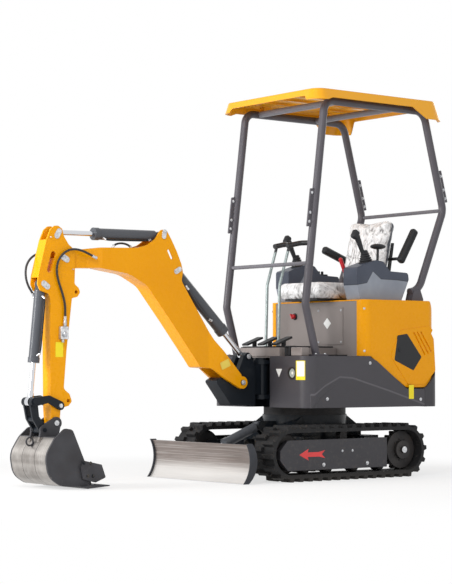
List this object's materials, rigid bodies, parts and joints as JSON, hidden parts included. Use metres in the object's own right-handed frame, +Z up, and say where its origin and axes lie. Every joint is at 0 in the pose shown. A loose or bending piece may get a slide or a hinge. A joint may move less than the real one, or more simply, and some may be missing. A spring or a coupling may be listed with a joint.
{
  "type": "mini excavator",
  "caption": "Small tracked excavator with a canopy, dozer blade, swing boom, arm and bucket, driven by hydraulic cylinders.",
  "frame": {"origin": "on the ground, under the middle of the machine's overall length and width", "axes": "+X forward, from the seat towards the blade and bucket; +Y to the operator's left; +Z up"},
  "size_m": [2.9028, 0.984, 2.345],
  "materials": {
    "yellow_paint": "gloss enamel",
    "grey_paint": "satin powder coat",
    "tube_paint": "satin powder coat",
    "warm_grey_paint": "satin powder coat",
    "black_paint": "satin enamel",
    "cylinder_paint": "satin enamel",
    "bare_steel": "brushed",
    "chrome_rod": "polished",
    "zinc": "zinc plated",
    "track_rubber": "matte",
    "iron": "rough",
    "roof_plastic": "moulded",
    "console_plastic": "moulded grain",
    "black_plastic": "moulded grain",
    "lamp_glass": "clear",
    "seat_vinyl": "vinyl under clear film"
  },
  "bodies": {
    "undercarriage": {"track_frame": "black_paint", "slew_bearing": "iron", "track_left": "track_rubber", "track_right": "track_rubber", "sprockets": "iron", "track_wheels": "iron", "track_cover_left": "grey_paint", "track_cover_right": "grey_paint"},
    "blade": {"blade": "bare_steel"},
    "blade_tube": {"blade_cylinder_tube": "cylinder_paint"},
    "blade_rod": {"blade_cylinder_rod": "chrome_rod"},
    "upper": {"platform": "black_paint", "side_panels": "grey_paint", "engine_hood": "yellow_paint", "hood_insets": "black_plastic", "work_lamps": "lamp_glass", "counterweight": "grey_paint", "seat_box": "warm_grey_paint", "engine_block": "iron", "floor_deck": "warm_grey_paint", "seat_cushion": "seat_vinyl", "seat_back": "seat_vinyl", "seat_frame": "black_plastic", "consoles": "console_plastic", "joysticks": "black_plastic", "travel_levers": "black_plastic", "pedals": "black_plastic", "canopy_frame_left": "tube_paint", "canopy_frame_right": "tube_paint", "canopy_crossbars": "tube_paint", "canopy_roof": "roof_plastic"},
    "swing": {"swing_bracket": "black_paint"},
    "boom": {"boom": "yellow_paint", "boom_pins": "zinc"},
    "boom_tube": {"boom_cylinder_tube": "cylinder_paint"},
    "boom_rod": {"boom_cylinder_rod": "chrome_rod"},
    "arm": {"arm": "yellow_paint", "arm_pins": "zinc"},
    "arm_tube": {"arm_cylinder_tube": "cylinder_paint"},
    "arm_rod": {"arm_cylinder_rod": "chrome_rod"},
    "bucket_tube": {"bucket_cylinder_tube": "cylinder_paint"},
    "bucket_rod": {"bucket_cylinder_rod": "chrome_rod"},
    "rocker": {"rocker_links": "black_paint"},
    "link": {"bucket_link": "black_paint"},
    "bucket": {"bucket": "bare_steel"}
  },
  "joints": [
    {"name": "slew", "type": "hinge", "parent": "undercarriage", "child": "upper", "pos_m": [-0.58157, 0, 0.428], "axis": [0, 0, 1], "continuous": true},
    {"name": "boom_swing", "type": "hinge", "parent": "upper", "child": "swing", "pos_m": [-0.22957, 0, 0.6], "axis": [0, 0, 1], "range_deg": [-45, 45]},
    {"name": "boom_raise", "type": "hinge", "parent": "swing", "child": "boom", "pos_m": [-0.02457, 0, 0.581], "axis": [0, -1, 0], "range_deg": [-60, 35]},
    {"name": "arm_crowd", "type": "hinge", "parent": "boom", "child": "arm", "pos_m": [1.21343, 0, 1.28], "axis": [0, 1, 0], "range_deg": [-65, 40]},
    {"name": "bucket_tip", "type": "hinge", "parent": "arm", "child": "bucket", "pos_m": [1.28243, 0, 0.363], "axis": [0, -1, 0], "range_deg": [-70, 60]},
    {"name": "blade_lift", "type": "hinge", "parent": "undercarriage", "child": "blade", "pos_m": [-0.23657, 0, 0.2], "axis": [0, -1, 0], "range_deg": [-20, 22]},
    {"name": "boom_cylinder_tilt", "type": "hinge", "parent": "boom", "child": "boom_tube", "pos_m": [0.43643, 0, 1.246], "axis": [0, -1, 0], "range_deg": [-1.64, 0.99]},
    {"name": "boom_cylinder_stroke", "type": "slide", "parent": "boom_tube", "child": "boom_rod", "axis": [-0.716, 0, -0.6981], "range_m": [-0.10335, 0.17161]},
    {"name": "arm_cylinder_tilt", "type": "hinge", "parent": "boom", "child": "arm_tube", "pos_m": [0.54643, 0, 1.44], "axis": [0, 1, 0], "range_deg": [-0.213, 0.337]},
    {"name": "arm_cylinder_stroke", "type": "slide", "parent": "arm_tube", "child": "arm_rod", "axis": [0.9999, 0, -0.0125], "range_m": [-0.17609, 0.11149]},
    {"name": "bucket_cylinder_tilt", "type": "hinge", "parent": "arm", "child": "bucket_tube", "pos_m": [1.35843, 0, 1.137], "axis": [0, -1, 0], "range_deg": [-0.344, 0.398]},
    {"name": "bucket_cylinder_stroke", "type": "slide", "parent": "bucket_tube", "child": "bucket_rod", "axis": [0.0972, 0, -0.9953], "range_m": [-0.10075, 0.11651]},
    {"name": "rocker_turn", "type": "hinge", "parent": "arm", "child": "rocker", "pos_m": [1.25443, 0, 0.459], "axis": [0, -1, 0], "range_deg": [-41.11, 35.54]},
    {"name": "link_turn", "type": "hinge", "parent": "bucket", "child": "link", "pos_m": [1.36043, 0, 0.326], "axis": [0, -1, 0], "range_deg": [-41.8, 48.35]},
    {"name": "blade_cylinder_tilt", "type": "hinge", "parent": "undercarriage", "child": "blade_tube", "pos_m": [-0.20957, 0, 0.318], "axis": [0, -1, 0], "range_deg": [-20.53, 22.46]},
    {"name": "blade_cylinder_stroke", "type": "slide", "parent": "blade_tube", "child": "blade_rod", "axis": [0.9302, 0, -0.3671], "range_m": [-0.04815, 0.04401]}
  ],
  "couplings": [
    {"joint": "boom_cylinder_tilt", "follows": "boom_raise", "ratio": 0.02604},
    {"joint": "boom_cylinder_stroke", "follows": "boom_raise", "m_per_rad": -0.15644},
    {"joint": "arm_cylinder_tilt", "follows": "arm_crowd", "ratio": -0.00495},
    {"joint": "arm_cylinder_stroke", "follows": "arm_crowd", "m_per_rad": 0.14804},
    {"joint": "bucket_cylinder_tilt", "follows": "bucket_tip", "ratio": -0.00538},
    {"joint": "bucket_cylinder_stroke", "follows": "bucket_tip", "m_per_rad": -0.09033},
    {"joint": "rocker_turn", "follows": "bucket_tip", "ratio": 0.55623},
    {"joint": "link_turn", "follows": "bucket_tip", "ratio": -0.65423},
    {"joint": "blade_cylinder_tilt", "follows": "blade_lift", "ratio": 0.96549},
    {"joint": "blade_cylinder_stroke", "follows": "blade_lift", "m_per_rad": -0.1186}
  ]
}
